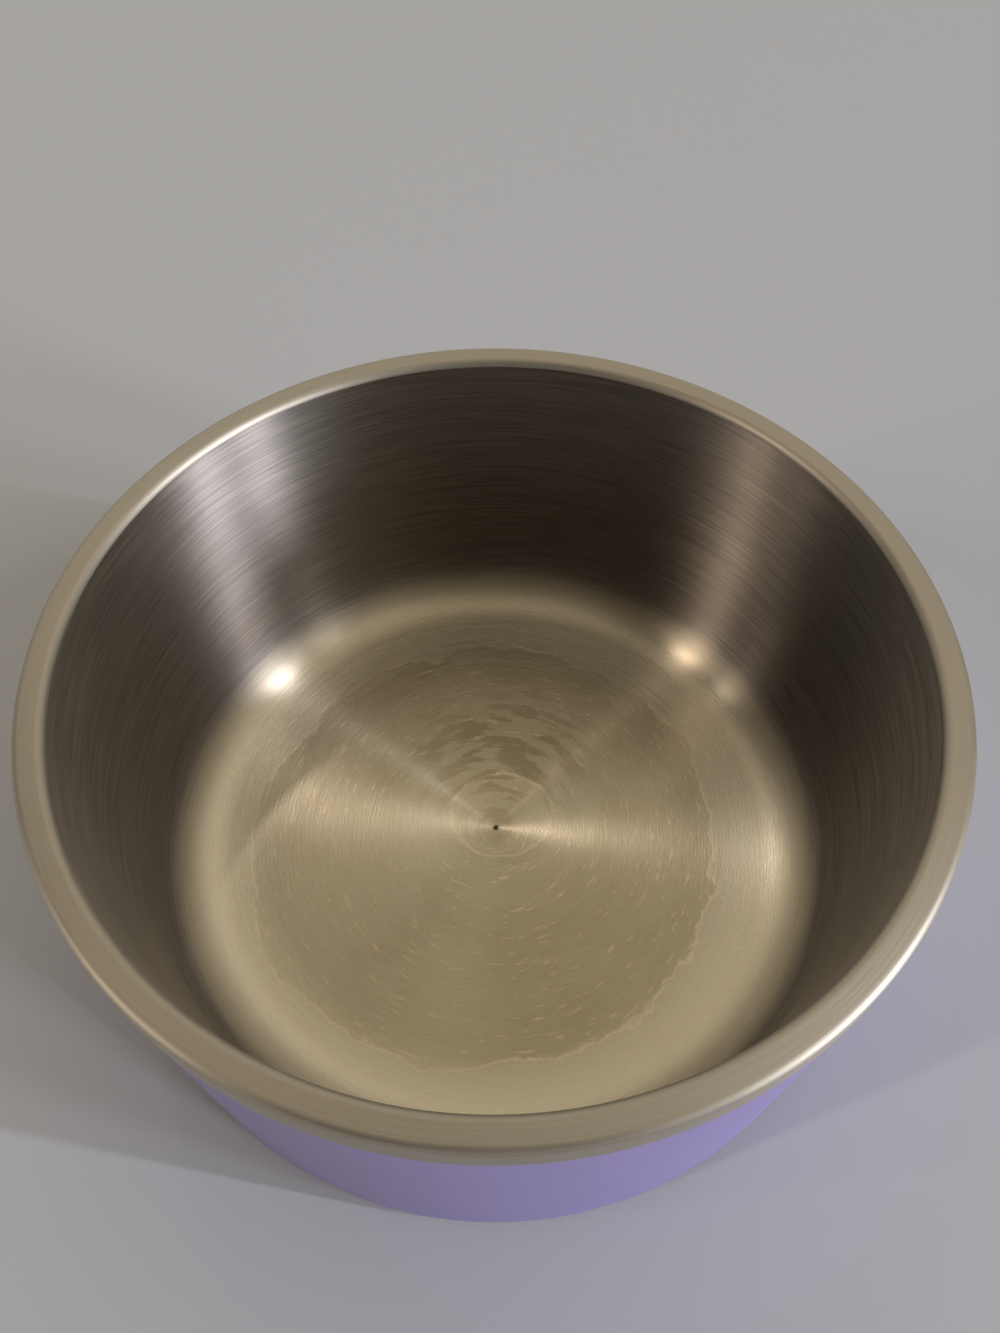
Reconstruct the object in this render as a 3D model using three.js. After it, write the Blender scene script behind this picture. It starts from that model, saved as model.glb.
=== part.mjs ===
// Double-wall dog bowl: a deep-drawn steel bowl with a rolled lip, a coated steel shell lapped up behind
// the lip, a pressed base plate closing the shell's foot, and a rubber ring in the plate's channel.
// Millimetres, +Z up. The origin is the centre of the ring's underside, on the surface the bowl stands on.
import * as THREE from 'three';

// Lip and inner bowl. A bend is the radius on the inside of the bent sheet.
const LIP_DIAMETER = 220;
const LIP_WIDTH = 7.2;
const LIP_INNER_BEND = 1.1;
const LIP_OUTER_BEND = 0.9;
const LIP_SKIRT = 9.2;
const BOWL_DEPTH = 91.8;
const BOWL_TAPER_DEG = 4;
const FLOOR_FILLET = 20;
const BOWL_SHEET = 0.9;

// Outer shell
const SHELL_SHEET = 0.9;
const SHELL_TAPER_DEG = 1.5;
const SHELL_SETBACK = 0.3;
const SHELL_LAP = 6;
const FOOT_BEND = 4.6;
const FOOT_FLANGE = 4.7;

// Base plate
const BASE_SHEET = 0.8;
const CHANNEL_DEPTH = 2;
const CHANNEL_INSET = 1;
const PANEL_INSET = 16;
const PANEL_SLOPE = 1.5;
const PANEL_RISE = 1.2;
const AIR_GAP = 3.5;

// Rubber ring
const RING_WIDTH = 9;
const RING_PROJECTION = 1.6;
const RING_EDGE_ROUND = 1;

// Play left between fitted pieces
const FIT_CLEARANCE = 0.3;

// Fineness of the round forms
const SIDES_AROUND = 60;
const ARC_STEP_DEG = 15;

// Heights stacked up from the surface
const footZ = RING_PROJECTION;
const seatZ = footZ + SHELL_SHEET;
const channelRoofZ = seatZ + CHANNEL_DEPTH;
const floorZ = channelRoofZ + BASE_SHEET + AIR_GAP + BOWL_SHEET;
const lipTopZ = floorZ + BOWL_DEPTH;
const skirtEndZ = lipTopZ - LIP_SKIRT;
const shoulderZ = skirtEndZ - FIT_CLEARANCE;
const shellTopZ = skirtEndZ + SHELL_LAP;

// Radii worked in from the lip
const lipRadius = LIP_DIAMETER / 2;
const shellTopRadius = lipRadius - SHELL_SETBACK;
const lapRadius = lipRadius - BOWL_SHEET - FIT_CLEARANCE;
const bowlTaper = THREE.MathUtils.degToRad(BOWL_TAPER_DEG);
const shellTaper = THREE.MathUtils.degToRad(SHELL_TAPER_DEG);

// Radius of the shell's outer face at a height
const shellRadiusAt = (z) => shellTopRadius - (shoulderZ - z) * Math.tan(shellTaper);
const footCorner = FOOT_BEND + SHELL_SHEET;
const footCornerZ = footZ + footCorner;
const footCornerRadius = shellRadiusAt(footCornerZ) - footCorner / Math.cos(shellTaper);
const flangeRadius = footCornerRadius - FOOT_FLANGE;
const channelOuterRadius = flangeRadius - CHANNEL_INSET;
const ringOuterRadius = channelOuterRadius - FIT_CLEARANCE;
const ringInnerRadius = ringOuterRadius - RING_WIDTH;
const channelInnerRadius = ringInnerRadius - FIT_CLEARANCE;

const point = (radius, z) => new THREE.Vector2(radius, z);

// Points of an arc in the (radius, z) plane, both ends included
function arc(centre, radius, fromDeg, toDeg) {
  const steps = Math.max(1, Math.ceil(Math.abs(toDeg - fromDeg) / ARC_STEP_DEG));
  return Array.from({ length: steps + 1 }, (_, i) => {
    const angle = THREE.MathUtils.degToRad(fromDeg + ((toDeg - fromDeg) * i) / steps);
    return point(centre.x + radius * Math.cos(angle), centre.y + radius * Math.sin(angle));
  });
}

// Solid of revolution about Z. The profile has the metal on its left, and closes on the axis or on itself.
function revolved(profile) {
  const closed = profile[0].x === 0 ? profile : [...profile, profile[0]];
  return new THREE.LatheGeometry(closed, SIDES_AROUND).rotateX(Math.PI / 2);
}

// A pressed sheet: outwards along its lower or outer face, and back along the other face
const revolvedSheet = (outerFace, innerFace) => revolved([...outerFace, ...innerFace.reverse()]);

// Inner bowl, from the middle of the floor up the tapered wall, over the lip and down its skirt
function innerBowl() {
  const innerRound = LIP_INNER_BEND + BOWL_SHEET;
  const outerRound = LIP_OUTER_BEND + BOWL_SHEET;
  const innerCentre = point(lipRadius - LIP_WIDTH + innerRound, lipTopZ - innerRound);
  const outerCentre = point(lipRadius - outerRound, lipTopZ - outerRound);
  const wallTop = point(
    innerCentre.x - innerRound * Math.cos(bowlTaper),
    innerCentre.y + innerRound * Math.sin(bowlTaper),
  );
  const filletZ = floorZ + FLOOR_FILLET;
  const filletReach = FLOOR_FILLET + (wallTop.y - filletZ) * Math.sin(bowlTaper);
  const filletCentre = point(wallTop.x - filletReach / Math.cos(bowlTaper), filletZ);
  const skin = (depth) => [
    point(0, floorZ - depth),
    ...arc(filletCentre, FLOOR_FILLET + depth, -90, -BOWL_TAPER_DEG),
    ...arc(innerCentre, innerRound - depth, 180 - BOWL_TAPER_DEG, 90),
    ...arc(outerCentre, outerRound - depth, 90, 0),
    point(lipRadius - depth, skirtEndZ),
  ];
  return revolvedSheet(skin(BOWL_SHEET), skin(0));
}

// Outer shell, from the foot's flange round the corner, up the tapered wall and in to the lap behind the skirt
function outerShell() {
  const corner = point(footCornerRadius, footCornerZ);
  const wallRadius = (depth) => shellRadiusAt(shoulderZ - depth) - depth / Math.cos(shellTaper);
  const skin = (depth) => [
    point(flangeRadius, footZ + depth),
    ...arc(corner, footCorner - depth, -90, -SHELL_TAPER_DEG),
    point(wallRadius(depth), shoulderZ - depth),
    point(lapRadius - depth, shoulderZ - depth),
    point(lapRadius - depth, shellTopZ),
  ];
  return revolvedSheet(skin(0), skin(SHELL_SHEET));
}

// Base plate: a raised middle panel, the ring's channel and an edge that lies on the shell's flange
function basePlate() {
  const panelRadius = channelInnerRadius - PANEL_INSET;
  const edgeRadius = footCornerRadius - FIT_CLEARANCE;
  const skin = (depth) => [
    point(0, seatZ + PANEL_RISE + depth),
    point(panelRadius - PANEL_SLOPE, seatZ + PANEL_RISE + depth),
    point(panelRadius, seatZ + depth),
    point(channelInnerRadius - depth, seatZ + depth),
    point(channelInnerRadius - depth, channelRoofZ + depth),
    point(channelOuterRadius + depth, channelRoofZ + depth),
    point(channelOuterRadius + depth, seatZ + depth),
    point(edgeRadius, seatZ + depth),
  ];
  return revolvedSheet(skin(0), skin(BASE_SHEET));
}

// Rubber ring, seated on the channel's roof and rounded where it meets the surface
function nonSlipRing() {
  const outerCentre = point(ringOuterRadius - RING_EDGE_ROUND, RING_EDGE_ROUND);
  const innerCentre = point(ringInnerRadius + RING_EDGE_ROUND, RING_EDGE_ROUND);
  return revolved([
    ...arc(innerCentre, RING_EDGE_ROUND, -180, -90),
    ...arc(outerCentre, RING_EDGE_ROUND, -90, 0),
    point(ringOuterRadius, channelRoofZ),
    point(ringInnerRadius, channelRoofZ),
  ]);
}

const finish = (color, roughness, metalness) => new THREE.MeshStandardMaterial({ color, roughness, metalness });

function piece(name, geometry, material) {
  const mesh = new THREE.Mesh(geometry, material);
  mesh.name = name;
  return mesh;
}

const bowl = new THREE.Group();
bowl.name = 'dog_bowl';
bowl.add(
  piece('inner_bowl', innerBowl(), finish(0xb8b1a3, 0.34, 1)),
  piece('outer_shell', outerShell(), finish(0x8f82c0, 0.45, 0)),
  piece('base_plate', basePlate(), finish(0xaaa69c, 0.4, 1)),
  piece('non_slip_ring', nonSlipRing(), finish(0x1f1f21, 0.85, 0)),
);

export default bowl;
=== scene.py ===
"""Dog bowl: brushed steel bowl in a violet coated shell, on a rubber ring. Metres, +Z up."""
import math
from collections import namedtuple
from functools import partial

import bpy
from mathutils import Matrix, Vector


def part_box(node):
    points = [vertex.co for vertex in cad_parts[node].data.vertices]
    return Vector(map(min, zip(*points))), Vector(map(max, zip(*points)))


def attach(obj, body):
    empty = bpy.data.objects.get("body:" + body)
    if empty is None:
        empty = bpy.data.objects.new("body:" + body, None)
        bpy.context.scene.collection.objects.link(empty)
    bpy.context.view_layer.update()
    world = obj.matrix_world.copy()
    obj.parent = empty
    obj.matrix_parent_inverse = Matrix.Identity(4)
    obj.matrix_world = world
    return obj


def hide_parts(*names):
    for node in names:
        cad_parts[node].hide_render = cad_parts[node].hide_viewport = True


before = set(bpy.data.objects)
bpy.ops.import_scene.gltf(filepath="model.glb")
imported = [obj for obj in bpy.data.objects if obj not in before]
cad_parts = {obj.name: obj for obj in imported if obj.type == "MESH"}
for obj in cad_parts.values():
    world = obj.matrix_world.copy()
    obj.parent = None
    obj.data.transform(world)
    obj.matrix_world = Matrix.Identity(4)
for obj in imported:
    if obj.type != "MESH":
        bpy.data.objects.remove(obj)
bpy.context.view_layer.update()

MM = 0.001

# Sizes of the pressed sheet, as the solids have them
BOWL_SHEET = 0.9 * MM
LIP_WIDTH = 7.2 * MM
LIP_INNER_ROUND = 2.0 * MM
LIP_OUTER_ROUND = 1.8 * MM
LIP_SKIRT = 9.2 * MM
BOWL_TAPER_DEG = 4.0
FLOOR_FILLET = 20.0 * MM
SHELL_SHEET = 0.9 * MM
SHELL_TAPER_DEG = 1.5
FOOT_CORNER = 5.5 * MM
FOOT_FLANGE = 4.7 * MM
BASE_SHEET = 0.8 * MM
CHANNEL_DEPTH = 2.0 * MM
CHANNEL_INSET = 1.0 * MM
PANEL_INSET = 16.0 * MM
PANEL_SLOPE = 1.5 * MM
PANEL_RISE = 1.2 * MM
RING_WIDTH = 9.0 * MM
RING_EDGE_ROUND = 1.0 * MM
FIT_CLEARANCE = 0.3 * MM
RIM_DEPTH = 1.5 * BOWL_SHEET    # from the skirt's outer face in to where the rim's finish ends

# Small forms that only the finished surface has
SHEET_EDGE_ROUND = 0.25 * MM
DISH_DEPTH = 0.5 * MM       # the floor sags a little inside its fillet
DISH_ROUND = 120.0 * MM     # radius of the bend from that sag into the fillet
DIMPLE_RADIUS = 1.1 * MM
DIMPLE_DEPTH = 0.35 * MM
DIMPLE_STEPS = ((1.0, 0.0), (0.8, 0.15), (0.35, 0.85), (0.0, 1.0))  # shares of radius and depth

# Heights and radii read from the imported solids
bowl_low, bowl_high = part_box("inner_bowl")
shell_low, shell_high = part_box("outer_shell")
base_low, base_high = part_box("base_plate")
ring_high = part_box("non_slip_ring")[1]
lip_radius = bowl_high[0]
lip_top = bowl_high[2]
floor_top = bowl_low[2] + BOWL_SHEET
skirt_end = lip_top - LIP_SKIRT

# How finely the round forms are drawn
SIDES_AROUND = 384
ARC_STEP_DEG = 6.0
CREASE_DEG = 40.0
WELD_DISTANCE = 0.001 * MM


def arc(centre, radius, from_deg, to_deg):
    """Points of an arc in the (radius, height) plane, both ends included."""
    steps = max(2, math.ceil(abs(to_deg - from_deg) / ARC_STEP_DEG))
    angles = [math.radians(from_deg + (to_deg - from_deg) * i / steps) for i in range(steps + 1)]
    return [(centre[0] + radius * math.cos(a), centre[1] + radius * math.sin(a)) for a in angles]


def linear(code):
    """An sRGB hex colour as linear red, green, blue and alpha."""
    channels = [int(code[i:i + 2], 16) / 255 for i in (1, 3, 5)]
    return [c / 12.92 if c <= 0.04045 else ((c + 0.055) / 1.055) ** 2.4 for c in channels] + [1.0]


def add(tree, kind, inputs=None, **settings):
    """Adds a node with its settings.

    Each input is a value, the socket that feeds it, or the node whose result feeds it.
    """
    node = tree.nodes.new(kind)
    for name, value in settings.items():
        setattr(node, name, value)
    for key, value in (inputs or {}).items():
        if isinstance(value, bpy.types.Node):
            value = next(socket for socket in value.outputs if socket.enabled)
        if isinstance(value, bpy.types.NodeSocket):
            tree.links.new(value, node.inputs[key])
        else:
            node.inputs[key].default_value = value
    return node


def revolve_tree():
    """Geometry Nodes: a closed profile swept round Z, creases kept sharp, the rim in its finish."""
    tree = bpy.data.node_groups.new("revolve_profile", "GeometryNodeTree")
    sockets = (
        ("Profile", "INPUT", "NodeSocketGeometry"),
        ("Radius", "INPUT", "NodeSocketFloat"),
        ("Sides", "INPUT", "NodeSocketInt"),
        ("Crease", "INPUT", "NodeSocketFloat"),
        ("Material", "INPUT", "NodeSocketMaterial"),
        ("Rim Material", "INPUT", "NodeSocketMaterial"),
        ("Rim Height", "INPUT", "NodeSocketFloat"),
        ("Rim Radius", "INPUT", "NodeSocketFloat"),
        ("Geometry", "OUTPUT", "NodeSocketGeometry"),
    )
    for name, way, kind in sockets:
        tree.interface.new_socket(name, in_out=way, socket_type=kind)
    put = partial(add, tree)
    given = put("NodeGroupInput").outputs
    circle = put("GeometryNodeCurvePrimitiveCircle", {
        "Resolution": given["Sides"], "Radius": given["Radius"],
    })
    swept = put("GeometryNodeCurveToMesh", {"Curve": circle, "Profile Curve": given["Profile"]})
    welded = put("GeometryNodeMergeByDistance", {"Geometry": swept, "Distance": WELD_DISTANCE})
    smooth = put("GeometryNodeSetShadeSmooth", {"Geometry": welded}, domain="FACE")
    angle = put("GeometryNodeInputMeshEdgeAngle").outputs["Unsigned Angle"]
    sharp = put("FunctionNodeCompare", {0: angle, 1: given["Crease"]}, operation="GREATER_THAN")
    creased = put("GeometryNodeSetShadeSmooth", {
        "Geometry": smooth, "Selection": sharp, "Shade Smooth": False,
    }, domain="EDGE")
    real = put("GeometryNodeRealizeInstances", {"Geometry": creased})
    clad = put("GeometryNodeSetMaterial", {"Geometry": real, "Material": given["Material"]})

    # The rim is all that lies above the lip's inner bend, or as far out as the skirt
    place = put("GeometryNodeInputPosition")
    height = put("ShaderNodeSeparateXYZ", {0: place}).outputs["Z"]
    flat = put("ShaderNodeVectorMath", {0: place, 1: (1, 1, 0)}, operation="MULTIPLY")
    reach = put("ShaderNodeVectorMath", {0: flat}, operation="LENGTH")
    high = put("FunctionNodeCompare", {0: height, 1: given["Rim Height"]}, operation="GREATER_THAN")
    wide = put("FunctionNodeCompare", {0: reach, 1: given["Rim Radius"]}, operation="GREATER_THAN")
    rim = put("FunctionNodeBooleanMath", {0: high, 1: wide}, operation="OR")
    both = put("GeometryNodeSetMaterial", {
        "Geometry": clad, "Selection": rim, "Material": given["Rim Material"],
    })
    put("NodeGroupOutput", {"Geometry": both})
    return tree


def revolved(tree, name, profile, material, rim_material):
    """A plain mesh object: the (radius, height) profile, metal on its left, turned round Z."""
    curve = bpy.data.curves.new(name, "CURVE")
    curve.dimensions = "3D"
    spline = curve.splines.new("POLY")
    spline.points.add(len(profile) - 1)
    # The sweep follows a circle of the lip's radius, so the profile is drawn from there
    for spot, (radius, height) in zip(spline.points, reversed(profile)):
        spot.co = (radius - lip_radius, -height, 0.0, 1.0)
    spline.use_cyclic_u = True
    source = bpy.data.objects.new(name + "_profile", curve)
    bpy.context.scene.collection.objects.link(source)
    modifier = source.modifiers.new("revolve", "NODES")
    modifier.node_group = tree
    sizes = {
        "Radius": lip_radius,
        "Sides": SIDES_AROUND,
        "Crease": math.radians(CREASE_DEG),
        "Material": material,
        "Rim Material": rim_material,
        "Rim Height": lip_top - LIP_INNER_ROUND,
        "Rim Radius": lip_radius - RIM_DEPTH,
    }
    for socket in tree.interface.items_tree:
        if socket.name in sizes:
            modifier[socket.identifier] = sizes[socket.name]
    evaluated = source.evaluated_get(bpy.context.evaluated_depsgraph_get())
    mesh = bpy.data.meshes.new_from_object(evaluated)
    mesh.name = name
    bpy.data.objects.remove(source)
    piece = bpy.data.objects.new(name, mesh)
    bpy.context.scene.collection.objects.link(piece)
    return piece


def bowl_profile():
    """Inner bowl: out under the floor, up and over inside the lip, back along the bright face."""
    taper = math.radians(BOWL_TAPER_DEG)
    inner = (lip_radius - LIP_WIDTH + LIP_INNER_ROUND, lip_top - LIP_INNER_ROUND)
    outer = (lip_radius - LIP_OUTER_ROUND, lip_top - LIP_OUTER_ROUND)
    wall_top_radius = inner[0] - LIP_INNER_ROUND * math.cos(taper)
    wall_top = inner[1] + LIP_INNER_ROUND * math.sin(taper)
    fillet_height = floor_top + FLOOR_FILLET
    reach = FLOOR_FILLET + (wall_top - fillet_height) * math.sin(taper)
    fillet = (wall_top_radius - reach / math.cos(taper), fillet_height)

    # The wide bend of the sagging floor runs on smoothly into the fillet
    wider = DISH_ROUND - FLOOR_FILLET
    sag_deg = math.degrees(math.acos(1 - DISH_DEPTH / wider))
    dish_radius = fillet[0] - wider * math.sin(math.radians(sag_deg))
    dish = (dish_radius, floor_top - DISH_DEPTH + DISH_ROUND)

    def face(depth):
        return [
            *arc(dish, DISH_ROUND + depth, -90, sag_deg - 90),
            *arc(fillet, FLOOR_FILLET + depth, sag_deg - 90, -BOWL_TAPER_DEG)[1:],
            *arc(inner, LIP_INNER_ROUND - depth, 180 - BOWL_TAPER_DEG, 90),
            *arc(outer, LIP_OUTER_ROUND - depth, 90, 0),
        ]

    edge = skirt_end + SHEET_EDGE_ROUND
    hem_inner = (lip_radius - BOWL_SHEET + SHEET_EDGE_ROUND, edge)
    hem_outer = (lip_radius - SHEET_EDGE_ROUND, edge)
    hem = [
        *arc(hem_inner, SHEET_EDGE_ROUND, 180, 270),
        *arc(hem_outer, SHEET_EDGE_ROUND, 270, 360),
    ]
    middle = floor_top - DISH_DEPTH
    dimple = [
        (DIMPLE_RADIUS * across, middle - DIMPLE_DEPTH * down) for across, down in DIMPLE_STEPS
    ]
    under = (0.0, middle - BOWL_SHEET)
    return [under, *face(BOWL_SHEET), *hem, *reversed(face(0.0)), *dimple]


# Radii and heights that the shell, the base plate and the ring share at the foot
shell_taper = math.radians(SHELL_TAPER_DEG)
shoulder = skirt_end - FIT_CLEARANCE
lap_radius = lip_radius - BOWL_SHEET - FIT_CLEARANCE
foot = shell_low[2]


def shell_radius_at(height):
    """Radius of the shell's coated face at a height."""
    return shell_high[0] - (shoulder - height) * math.tan(shell_taper)


foot_corner_height = foot + FOOT_CORNER
foot_corner_radius = shell_radius_at(foot_corner_height) - FOOT_CORNER / math.cos(shell_taper)
flange_radius = foot_corner_radius - FOOT_FLANGE


def shell_profile():
    """Outer shell: along the flange, round the foot, up the wall, in to the lap and back inside."""
    corner = (foot_corner_radius, foot_corner_height)

    def face(depth):
        wall = shell_radius_at(shoulder - depth) - depth / math.cos(shell_taper)
        return [
            (flange_radius, foot + depth),
            *arc(corner, FOOT_CORNER - depth, -90, -SHELL_TAPER_DEG),
            (wall, shoulder - depth),
            (lap_radius - depth, shoulder - depth),
            (lap_radius - depth, shell_high[2]),
        ]

    return [*face(0.0), *reversed(face(SHELL_SHEET))]


def base_profile():
    """Base plate: raised middle panel, the ring's channel and the edge on the shell's flange."""
    seat = base_low[2]
    roof = seat + CHANNEL_DEPTH
    channel_outer = flange_radius - CHANNEL_INSET
    channel_inner = channel_outer - RING_WIDTH - 2 * FIT_CLEARANCE
    panel = channel_inner - PANEL_INSET

    def face(depth):
        return [
            (0.0, seat + PANEL_RISE + depth),
            (panel - PANEL_SLOPE, seat + PANEL_RISE + depth),
            (panel, seat + depth),
            (channel_inner - depth, seat + depth),
            (channel_inner - depth, roof + depth),
            (channel_outer + depth, roof + depth),
            (channel_outer + depth, seat + depth),
            (base_high[0], seat + depth),
        ]

    return [*face(0.0), *reversed(face(BASE_SHEET))]


def ring_profile():
    """Rubber ring: rounded where it stands at height 0, flat on the channel's roof."""
    outer = ring_high[0]
    inner = outer - RING_WIDTH
    return [
        *arc((inner + RING_EDGE_ROUND, RING_EDGE_ROUND), RING_EDGE_ROUND, -180, -90),
        *arc((outer - RING_EDGE_ROUND, RING_EDGE_ROUND), RING_EDGE_ROUND, -90, 0),
        (outer, ring_high[2]),
        (inner, ring_high[2]),
    ]


def new_material(name):
    """A material without nodes, and its node tree."""
    material = bpy.data.materials.new(name)
    material.use_nodes = True
    material.node_tree.nodes.clear()
    return material, material.node_tree


EASED = {"interpolation_type": "SMOOTHSTEP"}

# Stainless steel. The bowl is brushed in rings round its axis, so that highlights run out into long
# streaks, and its wall is rougher than its floor. The lip is a finer satin with a soft, even shine.
# The base plate is as it left the press, with a dull and even shine.
Finish = namedtuple("Finish", "tint roughness contrast")
BOWL_FLOOR = Finish("#D6CCB8", 0.275, 0.05)
# The wall's tint is darker than the floor's: painted shade that stands in for the dark room the
# wall mirrors.
BOWL_WALL = Finish("#88827B", 0.42, 0.22)
LIP = Finish("#ADA699", 0.5, 0.04)
BASE = Finish("#B4B1AB", 0.4, 0.05)
BOWL_STRETCH, LIP_STRETCH, BASE_STRETCH = 1.0, 0.5, 0.6
PAINTED_SHADE_RISE = (2.5 * MM, 11.0 * MM)   # heights over the floor between its tint and the wall's
SHEEN_RISE = (1.0 * MM, 6.0 * MM)   # the same for roughness

# Brushed lines
BRUSH_PITCH = 0.3 * MM      # real lines are near 0.1 mm, drawn coarser so that they show
BRUSH_LENGTH = 22.0 * MM
BRUSH_HEIGHT = 0.04 * MM
BRUSH_DETAIL = 2.0
GROOVE, RIDGE = 0.3, 0.7    # noise values of the lines' lows and highs
BRUSH_UNEVEN = 0.02         # roughness that a line gains or loses
ACROSS_LINES = 0.25         # turn of the anisotropy that stretches highlights across the lines

# Water that dried on the floor: its edge, and the last of it round the middle
Pool = namedtuple("Pool", "centre radius wander")
TIDE = Pool((-3.0 * MM, -2.0 * MM, 0.0), 70.0 * MM, 20.0 * MM)
DROP = Pool((2.0 * MM, 5.0 * MM, 0.0), 15.0 * MM, 8.0 * MM)
TIDE_SOFT = 10.0 * MM
RAGGED_SIZE = 22.0 * MM
RAGGED_DETAIL = 8.0
BLOTCH_ROUGHNESS = 0.62
DEPOSIT_WIDTH = 0.9 * MM

# Uneven strength of the dried water, and the middle that stays brighter
FADE_SIZE = 45.0 * MM
FADE_DETAIL = 2.0
FADE_RANGE = (0.35, 0.6)
FADE_LEAST = 0.4
DULL_RADII = (12.0 * MM, 38.0 * MM)
DULL_LEAST = 0.3

# Dark mottling behind the middle, pale flecks and a small dark dot in the centre
MOTTLE_CENTRE = (3.0 * MM, 24.0 * MM, 0.0)
MOTTLE_RADII = (12.0 * MM, 36.0 * MM)
MOTTLE_LEAST = 0.12
MOTTLE_LENGTH = 13.0 * MM
MOTTLE_WIDTH = 4.0 * MM
MOTTLE_DETAIL = 4.0
MOTTLE_RANGE = (0.48, 0.54)
FLECK_LENGTH = 5.0 * MM
FLECK_WIDTH = 0.9 * MM
FLECK_DETAIL = 1.0
FLECK_RANGE = (0.64, 0.7)
CENTRE_RADII = (0.45 * MM, 0.9 * MM)

# What each mark leaves or adds of the steel's own tint: factors for red, green, blue and alpha
DULL_FACTORS = (0.76, 0.745, 0.71, 1.0)
TIDE_FACTORS = (0.87, 0.855, 0.82, 1.0)
DROP_FACTORS = (1.08, 1.07, 1.05, 1.0)
MOTTLE_FACTORS = (0.74, 0.705, 0.65, 1.0)
DEPOSIT_FACTORS = (1.24, 1.23, 1.19, 1.0)
FLECK_FACTORS = (1.28, 1.27, 1.23, 1.0)
CENTRE_FACTORS = (0.12, 0.1, 0.07, 1.0)


def drawn_arcs(put, flat, across, length, width, detail):
    """Noise drawn out round the axis, as a turning brush leaves it."""
    along = put("ShaderNodeVectorMath", {0: flat, 1: (1 / length,) * 3}, operation="MULTIPLY")
    step = put("ShaderNodeMath", {0: across, 1: 1 / width}, operation="MULTIPLY")
    lift = put("ShaderNodeCombineXYZ", {"Z": step})
    spot = put("ShaderNodeVectorMath", {0: along, 1: lift}, operation="ADD")
    return put("ShaderNodeTexNoise", {"Vector": spot, "Scale": 1.0, "Detail": detail})


def dried_pool(put, place, flat, pool):
    """Masks of a dried pool with a ragged outline and of the deposit along that outline."""
    away = put("ShaderNodeVectorMath", {0: flat, 1: pool.centre}, operation="DISTANCE")
    ragged = put("ShaderNodeTexNoise", {
        "Vector": place, "Scale": 1 / RAGGED_SIZE, "Detail": RAGGED_DETAIL,
        "Roughness": BLOTCH_ROUGHNESS,
    })
    level = put("ShaderNodeMath", {0: ragged, 1: pool.wander, 2: away}, operation="MULTIPLY_ADD")
    outline = pool.radius + pool.wander / 2
    inside = put("ShaderNodeMapRange", {
        "Value": level, "From Min": outline + DEPOSIT_WIDTH / 2,
        "From Max": outline - DEPOSIT_WIDTH / 2,
    }, **EASED)
    rise = put("ShaderNodeMapRange", {
        "Value": level, "From Min": outline - DEPOSIT_WIDTH, "From Max": outline,
    }, **EASED)
    fall = put("ShaderNodeMapRange", {
        "Value": level, "From Min": outline + DEPOSIT_WIDTH, "From Max": outline,
    }, **EASED)
    return inside, put("ShaderNodeMath", {0: rise, 1: fall}, operation="MULTIPLY")


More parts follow.
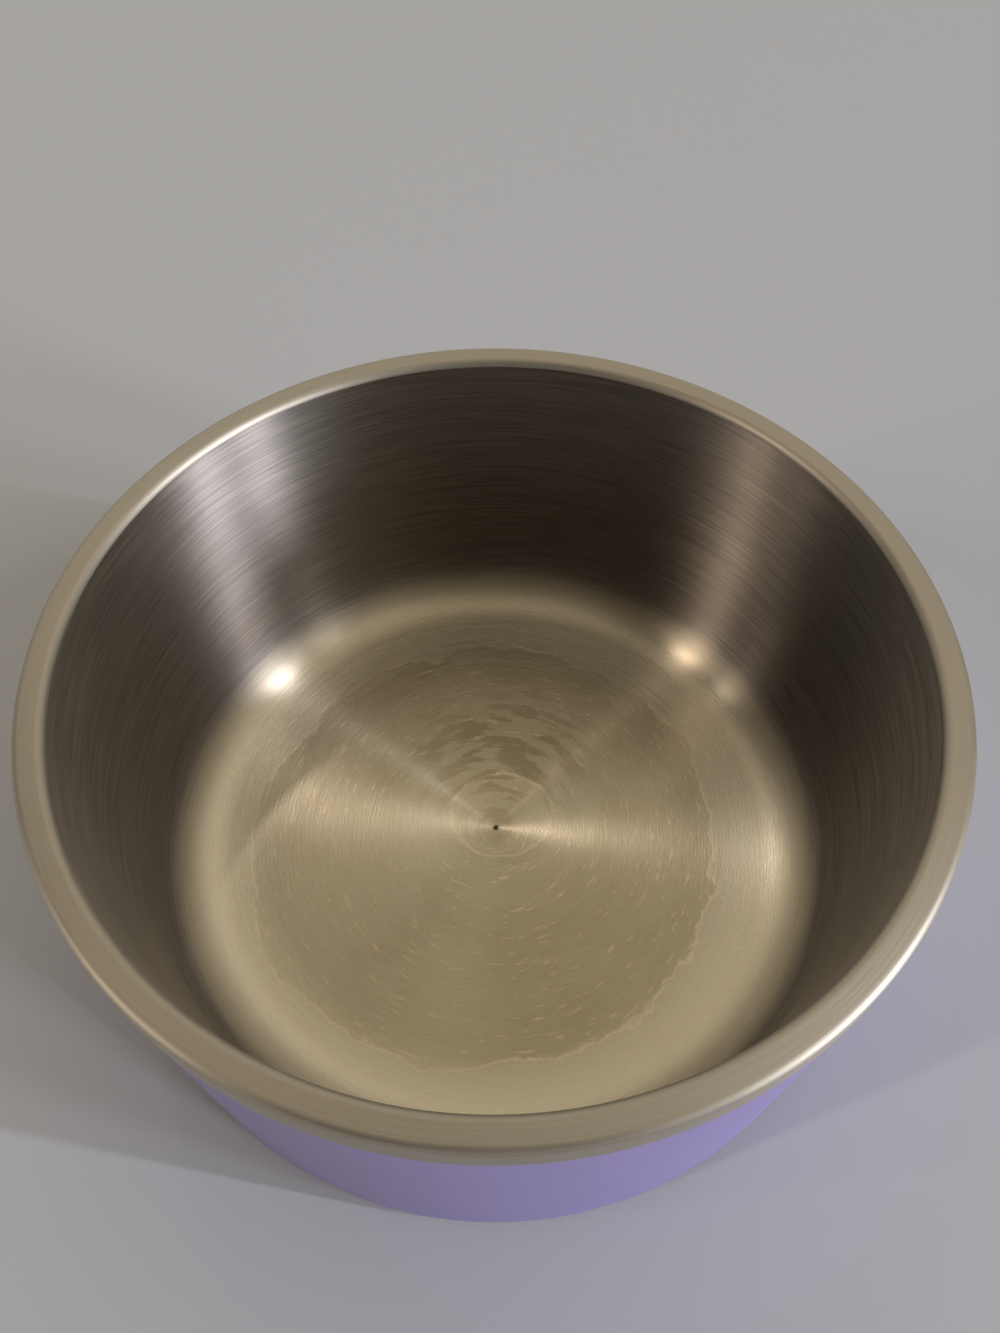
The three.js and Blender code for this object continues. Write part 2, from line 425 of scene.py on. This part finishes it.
def floor_marks(put, place, flat, radius, across, colour):
    """The steel's colour with all that water left on the floor when it dried, and a dark middle
    dot.
    """
    # The pools, stronger here and weaker there, and the deposit along their outlines
    tide, tide_edge = dried_pool(put, place, flat, TIDE)
    drop, drop_edge = dried_pool(put, place, flat, DROP)
    fade = put("ShaderNodeTexNoise", {
        "Vector": place, "Scale": 1 / FADE_SIZE, "Detail": FADE_DETAIL,
        "Roughness": BLOTCH_ROUGHNESS,
    })
    faded = put("ShaderNodeMapRange", {
        "Value": fade, "From Min": FADE_RANGE[0], "From Max": FADE_RANGE[1],
        "To Min": FADE_LEAST,
    }, **EASED)
    tide = put("ShaderNodeMath", {0: tide, 1: faded}, operation="MULTIPLY")
    drop = put("ShaderNodeMath", {0: drop, 1: faded}, operation="MULTIPLY")
    deposit = put("ShaderNodeMath", {0: tide_edge, 1: drop_edge}, operation="MAXIMUM")
    deposit = put("ShaderNodeMath", {0: deposit, 1: faded}, operation="MULTIPLY")

    # The floor that it dulled, less so near the middle
    away = put("ShaderNodeVectorMath", {0: flat, 1: TIDE.centre}, operation="DISTANCE")
    reached = put("ShaderNodeMapRange", {
        "Value": away, "From Min": TIDE.radius + TIDE_SOFT, "From Max": TIDE.radius - TIDE_SOFT,
    }, **EASED)
    outwards = put("ShaderNodeMapRange", {
        "Value": radius, "From Min": DULL_RADII[0], "From Max": DULL_RADII[1],
        "To Min": DULL_LEAST,
    }, **EASED)
    dull = put("ShaderNodeMath", {0: reached, 1: outwards}, operation="MULTIPLY")

    # Mottling, flecks and a dark dot in the middle, over the dimple
    mottle = put("ShaderNodeMapRange", {
        "Value": drawn_arcs(put, flat, across, MOTTLE_LENGTH, MOTTLE_WIDTH, MOTTLE_DETAIL),
        "From Min": MOTTLE_RANGE[0], "From Max": MOTTLE_RANGE[1],
    }, **EASED)
    away = put("ShaderNodeVectorMath", {0: flat, 1: MOTTLE_CENTRE}, operation="DISTANCE")
    nearby = put("ShaderNodeMapRange", {
        "Value": away, "From Min": MOTTLE_RADII[1], "From Max": MOTTLE_RADII[0],
        "To Min": MOTTLE_LEAST,
    }, **EASED)
    mottle = put("ShaderNodeMath", {0: mottle, 1: nearby}, operation="MULTIPLY")
    mottle = put("ShaderNodeMath", {0: mottle, 1: tide}, operation="MULTIPLY")
    fleck = put("ShaderNodeMapRange", {
        "Value": drawn_arcs(put, flat, across, FLECK_LENGTH, FLECK_WIDTH, FLECK_DETAIL),
        "From Min": FLECK_RANGE[0], "From Max": FLECK_RANGE[1],
    }, **EASED)
    fleck = put("ShaderNodeMath", {0: fleck, 1: tide}, operation="MULTIPLY")
    centre = put("ShaderNodeMapRange", {
        "Value": radius, "From Min": CENTRE_RADII[1], "From Max": CENTRE_RADII[0],
    }, **EASED)

    laid_on = (
        (dull, DULL_FACTORS), (tide, TIDE_FACTORS), (drop, DROP_FACTORS), (mottle, MOTTLE_FACTORS),
        (deposit, DEPOSIT_FACTORS), (fleck, FLECK_FACTORS), (centre, CENTRE_FACTORS),
    )
    for mark, factors in laid_on:
        colour = put("ShaderNodeMix", {
            0: mark, 6: colour, 7: factors,
        }, data_type="RGBA", blend_type="MULTIPLY")
    return colour


def brushed_steel(name, floor, wall, stretch, marked=False):
    """Circle-brushed stainless steel: rings of fine lines stretch each highlight across them.

    floor and wall are the finishes low and high on the piece, stretch is how far the lines draw a
    highlight out, and marked says whether water has dried on it.
    """
    material, tree = new_material(name)
    put = partial(add, tree)
    place = put("ShaderNodeTexCoord").outputs["Object"]
    height = put("ShaderNodeSeparateXYZ", {0: place}).outputs["Z"]
    flat = put("ShaderNodeVectorMath", {0: place, 1: (1, 1, 0)}, operation="MULTIPLY")
    radius = put("ShaderNodeVectorMath", {0: flat}, operation="LENGTH")
    across = put("ShaderNodeMath", {0: radius, 1: height}, operation="ADD")

    # From the floor's finish to the wall's, whose darker tint is painted shade
    painted_shade_rise = put("ShaderNodeMapRange", {
        "Value": height, "From Min": floor_top + PAINTED_SHADE_RISE[0], "From Max": floor_top + PAINTED_SHADE_RISE[1],
    }, **EASED)
    rounding = put("ShaderNodeMapRange", {
        "Value": height, "From Min": floor_top + SHEEN_RISE[0],
        "From Max": floor_top + SHEEN_RISE[1],
    }, **EASED)
    colour = put("ShaderNodeMix", {
        0: painted_shade_rise, 6: linear(floor.tint), 7: linear(wall.tint),
    }, data_type="RGBA")
    if marked:
        colour = floor_marks(put, place, flat, radius, across, colour)

    # Brushed lines in tint, roughness and relief
    brush = drawn_arcs(put, flat, across, BRUSH_LENGTH, BRUSH_PITCH, BRUSH_DETAIL)
    contrast = put("ShaderNodeMix", {0: painted_shade_rise, 2: floor.contrast, 3: wall.contrast})
    swing = put("ShaderNodeMapRange", {
        "Value": brush, "From Min": GROOVE, "From Max": RIDGE, "To Min": -1.0,
    }, **EASED)
    line = put("ShaderNodeMath", {0: swing, 1: contrast, 2: 1.0}, operation="MULTIPLY_ADD")
    colour = put("ShaderNodeVectorMath", {0: colour, 1: line}, operation="MULTIPLY")
    sheen = put("ShaderNodeMix", {0: rounding, 2: floor.roughness, 3: wall.roughness})
    uneven = put("ShaderNodeMapRange", {
        "Value": brush, "From Min": GROOVE, "From Max": RIDGE,
        "To Min": -BRUSH_UNEVEN, "To Max": BRUSH_UNEVEN,
    }, **EASED)
    rough = put("ShaderNodeMath", {0: sheen, 1: uneven}, operation="ADD")
    bump = put("ShaderNodeBump", {"Strength": 1.0, "Distance": BRUSH_HEIGHT, "Height": brush})
    turn = put("ShaderNodeVectorMath", {0: (0, 0, 1), 1: place}, operation="CROSS_PRODUCT")
    brushed_way = put("ShaderNodeVectorMath", {0: turn}, operation="NORMALIZE")
    shader = put("ShaderNodeBsdfPrincipled", {
        "Base Color": colour, "Metallic": 1.0, "Roughness": rough, "Normal": bump,
        "Anisotropic": stretch, "Anisotropic Rotation": ACROSS_LINES, "Tangent": brushed_way,
    })
    put("ShaderNodeOutputMaterial", {"Surface": shader})
    return material


# Powder coat: baked polymer, a satin shine broken by a fine orange peel, and a slightly uneven tint
COAT_TINT = "#988BC2"
COAT_SHADE = "#9083BA"
COAT_ROUGHNESS = (0.36, 0.46)
COAT_IOR = 1.5
CLOUD_SIZE = 40.0 * MM
PEEL_SIZE = 0.9 * MM
PEEL_HEIGHT = 0.015 * MM
PEEL_STRENGTH = 0.6


def powder_coat(name):
    """Satin powder coat: clouds of two close tints, orange peel in roughness and relief."""
    material, tree = new_material(name)
    put = partial(add, tree)
    place = put("ShaderNodeTexCoord").outputs["Object"]
    peel = put("ShaderNodeTexNoise", {"Vector": place, "Scale": 1 / PEEL_SIZE, "Detail": 2.0})
    cloud = put("ShaderNodeTexNoise", {"Vector": place, "Scale": 1 / CLOUD_SIZE, "Detail": 3.0})
    colour = put("ShaderNodeMix", {
        0: cloud, 6: linear(COAT_TINT), 7: linear(COAT_SHADE),
    }, data_type="RGBA")
    rough = put("ShaderNodeMapRange", {
        "Value": peel, "To Min": COAT_ROUGHNESS[0], "To Max": COAT_ROUGHNESS[1],
    })
    bump = put("ShaderNodeBump", {
        "Strength": PEEL_STRENGTH, "Distance": PEEL_HEIGHT, "Height": peel,
    })
    shader = put("ShaderNodeBsdfPrincipled", {
        "Base Color": colour, "Roughness": rough, "Normal": bump, "IOR": COAT_IOR,
    })
    put("ShaderNodeOutputMaterial", {"Surface": shader})
    return material


# Moulded rubber: nearly matt black, with the fine grain of its mould
RUBBER_TINT = "#232325"
RUBBER_SHADE = "#1B1B1D"
RUBBER_ROUGHNESS = (0.72, 0.9)
GRAIN_SIZE = 0.5 * MM
GRAIN_HEIGHT = 0.03 * MM
GRAIN_STRENGTH = 0.6


def moulded_rubber(name):
    """Matt moulded rubber: the grain shows in tint, roughness and relief."""
    material, tree = new_material(name)
    put = partial(add, tree)
    place = put("ShaderNodeTexCoord").outputs["Object"]
    grain = put("ShaderNodeTexNoise", {"Vector": place, "Scale": 1 / GRAIN_SIZE, "Detail": 2.0})
    colour = put("ShaderNodeMix", {
        0: grain, 6: linear(RUBBER_TINT), 7: linear(RUBBER_SHADE),
    }, data_type="RGBA")
    rough = put("ShaderNodeMapRange", {
        "Value": grain, "To Min": RUBBER_ROUGHNESS[0], "To Max": RUBBER_ROUGHNESS[1],
    })
    bump = put("ShaderNodeBump", {
        "Strength": GRAIN_STRENGTH, "Distance": GRAIN_HEIGHT, "Height": grain,
    })
    shader = put("ShaderNodeBsdfPrincipled", {
        "Base Color": colour, "Roughness": rough, "Normal": bump,
    })
    put("ShaderNodeOutputMaterial", {"Surface": shader})
    return material


def build_bowl():
    """The four finished pieces, each in the place of its solid."""
    tree = revolve_tree()
    bowl_steel = brushed_steel(
        "brushed_stainless_steel", BOWL_FLOOR, BOWL_WALL, BOWL_STRETCH, marked=True,
    )
    lip_steel = brushed_steel("satin_stainless_steel", LIP, LIP, LIP_STRETCH)
    base_steel = brushed_steel("pressed_stainless_steel", BASE, BASE, BASE_STRETCH)
    coat = powder_coat("violet_powder_coat")
    rubber = moulded_rubber("black_moulded_rubber")
    pieces = (
        ("inner_bowl", "brushed_bowl_steel", bowl_profile, bowl_steel, lip_steel),
        ("outer_shell", "violet_coat", shell_profile, coat, coat),
        ("base_plate", "base_steel", base_profile, base_steel, base_steel),
        ("non_slip_ring", "ring_rubber", ring_profile, rubber, rubber),
    )
    for node, slot, profile, material, rim_material in pieces:
        piece = revolved(tree, node + "_finished", profile(), material, rim_material)
        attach(piece, "root")
        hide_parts(node)


FLOOR_TINT = "#BEC2C8"
FLOOR_HALF = 30.0


def build_floor():
    """A wide matt floor: it takes the shadow and has no shine."""
    near, far = -FLOOR_HALF, FLOOR_HALF
    corners = [(near, near, 0), (far, near, 0), (far, far, 0), (near, far, 0)]
    mesh = bpy.data.meshes.new("studio_floor")
    mesh.from_pydata(corners, [], [(0, 1, 2, 3)])
    material, tree = new_material("pale_floor")
    shader = add(tree, "ShaderNodeBsdfPrincipled", {
        "Base Color": linear(FLOOR_TINT), "Roughness": 1.0, "Specular IOR Level": 0.0,
    })
    add(tree, "ShaderNodeOutputMaterial", {"Surface": shader})
    mesh.materials.append(material)
    floor = bpy.data.objects.new("studio_floor", mesh)
    bpy.context.scene.collection.objects.link(floor)


# Lamps in degrees as seen from the bowl: azimuth 0 is to the right and 90 behind. Glow 1 is white.
Lamp = namedtuple("Lamp", "name azimuth elevation width height glow tint")
LAMPS = (
    Lamp("tall_strip", -12.5, 31.0, 0.7, 28.0, 146.0, "#F4F4FF"),
    Lamp("low_panel", -18.0, 13.0, 5.0, 14.0, 40.0, "#EEF2FF"),
    Lamp("side_panel", -31.0, 11.0, 6.0, 10.0, 62.0, "#EEF2FF"),
    Lamp("side_strip", -35.0, 27.0, 0.6, 6.0, 140.0, "#F6F4F2"),
    Lamp("broad_panel", -34.0, 8.0, 34.0, 10.0, 3.0, "#E8EEFF"),
    Lamp("left_strip", -158.0, 30.0, 2.0, 32.0, 30.0, "#FFEBD6"),
    Lamp("left_spot", -172.0, 30.0, 0.8, 4.0, 110.0, "#FFEEDC"),
    Lamp("high_spot", 111.0, 60.0, 1.2, 2.0, 54.0, "#FFF6EE"),
)
LAMP_DISTANCE = 25.0

# Soft light by height above the horizon: sine of the elevation, then colour
SKY_BANDS = (
    (0.00, "#6E6A64"),
    (0.40, "#756E62"),
    (0.60, "#B8AE9B"),
    (0.80, "#D2C7B1"),
    (0.94, "#C0B59E"),
    (1.00, "#B4A992"),
)
# Round patches over those bands, in degrees: full is where the tint is whole, end where it is gone
Patch = namedtuple("Patch", "tint azimuth elevation full end")
SKY_PATCHES = (
    Patch("#CBC0A9", 110.0, 38.0, 20.0, 50.0),
    Patch("#EAE0CC", 62.0, 44.0, 12.0, 34.0),
    Patch("#0D0B09", -97.0, 28.0, 25.0, 42.0),
    Patch("#1A1714", -168.0, 30.0, 28.0, 50.0),
)
# Pale backdrop. The metal mirrors it low over the horizon, by sine of the elevation
BACKDROP = "#DDD9D2"
BACKDROP_FULL = 0.16
BACKDROP_END = 0.34


def direction(azimuth, elevation):
    """Unit vector towards a point of the sky, from angles in degrees."""
    turn, rise = math.radians(azimuth), math.radians(elevation)
    return (math.cos(rise) * math.cos(turn), math.cos(rise) * math.sin(turn), math.sin(rise))


def build_lamps():
    """Area lamps that face the bowl and that the camera doesn't see."""
    for lamp in LAMPS:
        data = bpy.data.lights.new(lamp.name, "AREA")
        data.shape = "RECTANGLE"
        data.size = 2 * LAMP_DISTANCE * math.tan(math.radians(lamp.width / 2))
        data.size_y = 2 * LAMP_DISTANCE * math.tan(math.radians(lamp.height / 2))
        data.energy = lamp.glow * math.pi * data.size * data.size_y
        data.color = linear(lamp.tint)[:3]
        panel = bpy.data.objects.new(lamp.name, data)
        panel.location = [LAMP_DISTANCE * c for c in direction(lamp.azimuth, lamp.elevation)]
        tilt, turn = math.radians(90 - lamp.elevation), math.radians(lamp.azimuth + 90)
        panel.rotation_euler = (tilt, 0.0, turn)
        panel.visible_camera = False
        bpy.context.scene.collection.objects.link(panel)


def build_sky():
    """Soft light from all round: bands by height, patches over them, and the pale backdrop."""
    world = bpy.data.worlds.new("studio")
    bpy.context.scene.world = world
    world.use_nodes = True
    world.node_tree.nodes.clear()
    put = partial(add, world.node_tree)
    towards = put("ShaderNodeTexCoord").outputs["Generated"]
    height = put("ShaderNodeSeparateXYZ", {0: towards}).outputs["Z"]
    colour = put("ShaderNodeValToRGB", {0: height})
    stops = colour.color_ramp.elements
    while len(stops) < len(SKY_BANDS):
        stops.new(1.0)
    for stop, (position, tint) in zip(stops, SKY_BANDS):
        stop.position = position
        stop.color = linear(tint)
    for patch in SKY_PATCHES:
        near = put("ShaderNodeVectorMath", {
            0: towards, 1: direction(patch.azimuth, patch.elevation),
        }, operation="DOT_PRODUCT")
        cover = put("ShaderNodeMapRange", {
            "Value": near, "From Min": math.cos(math.radians(patch.end)),
            "From Max": math.cos(math.radians(patch.full)),
        }, **EASED)
        colour = put("ShaderNodeMix", {
            0: cover, 6: colour, 7: linear(patch.tint),
        }, data_type="RGBA")
    low = put("ShaderNodeMapRange", {
        "Value": height, "From Min": BACKDROP_END, "From Max": BACKDROP_FULL,
    }, **EASED)
    path = put("ShaderNodeLightPath").outputs
    seen = path["Is Camera Ray"]
    for ray in ("Is Glossy Ray", "Is Transmission Ray"):
        mirrored = put("ShaderNodeMath", {0: path[ray], 1: low}, operation="MULTIPLY")
        seen = put("ShaderNodeMath", {0: seen, 1: mirrored}, operation="MAXIMUM")
    colour = put("ShaderNodeMix", {0: seen, 6: colour, 7: linear(BACKDROP)}, data_type="RGBA")
    sky = put("ShaderNodeBackground", {"Color": colour})
    put("ShaderNodeOutputWorld", {"Surface": sky})


# Where the photograph was taken from, and its focal length in pixels of its long side
CAMERA_BACK = 148.1 * MM
CAMERA_HEIGHT = 303.8 * MM
CAMERA_PITCH_DEG = 54.77
CAMERA_YAW_DEG = 0.51
FOCAL_PIXELS = 1070.3
LONG_SIDE_PIXELS = 1333
SENSOR_MM = 36.0
CLIP_START = 10.0 * MM


def build_camera():
    """The camera at the photograph's viewing angle."""
    data = bpy.data.cameras.new("camera")
    data.sensor_width = SENSOR_MM
    data.lens = SENSOR_MM * FOCAL_PIXELS / LONG_SIDE_PIXELS
    data.clip_start = CLIP_START
    camera = bpy.data.objects.new("camera", data)
    camera.location = (0.0, -CAMERA_BACK, CAMERA_HEIGHT)
    tilt, turn = math.radians(90 - CAMERA_PITCH_DEG), -math.radians(CAMERA_YAW_DEG)
    camera.rotation_euler = (tilt, 0.0, turn)
    bpy.context.scene.collection.objects.link(camera)
    bpy.context.scene.camera = camera


build_camera()
build_bowl()
build_floor()
build_lamps()
build_sky()
bpy.context.scene.view_settings.view_transform = "Standard"
